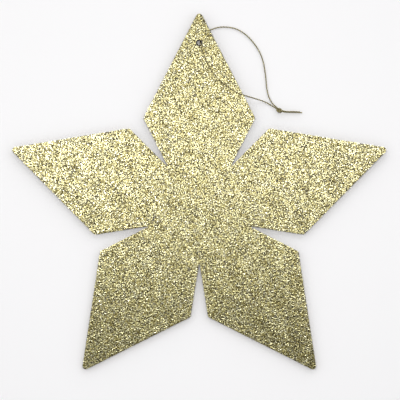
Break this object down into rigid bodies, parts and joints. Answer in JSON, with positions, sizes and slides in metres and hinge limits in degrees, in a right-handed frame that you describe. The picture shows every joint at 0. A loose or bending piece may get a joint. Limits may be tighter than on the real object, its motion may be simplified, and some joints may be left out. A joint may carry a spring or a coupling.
{
  "type": "hanging star ornament",
  "caption": "Flat die-cut star with kite-shaped petals, glitter paper on both faces, and a thin knotted cord loop through a punched hole near one tip.",
  "frame": {"origin": "centre of the star, half way through its thickness", "axes": "+Z out of the front face, +Y from the centre towards the petal with the punched hole, +X to its right"},
  "size_m": [0.299, 0.2845, 0.005],
  "materials": {
    "glitter_paper": "satin",
    "greyboard": "matte",
    "gold_cord": "satin"
  },
  "bodies": {
    "star": {"star_core_board": "greyboard", "front_glitter_sheet": "glitter_paper", "back_glitter_sheet": "glitter_paper"},
    "hanging_loop": {"cord_front_leg": "gold_cord", "cord_back_leg": "gold_cord", "cord_knot": "gold_cord", "cord_upper_tail": "gold_cord", "cord_lower_tail": "gold_cord"}
  },
  "joints": [
    {"name": "loop_swing", "type": "hinge", "parent": "star", "child": "hanging_loop", "pos_m": [0, 0.1338, 0], "axis": [0, 0, 1], "range_deg": [-2, 254]}
  ]
}
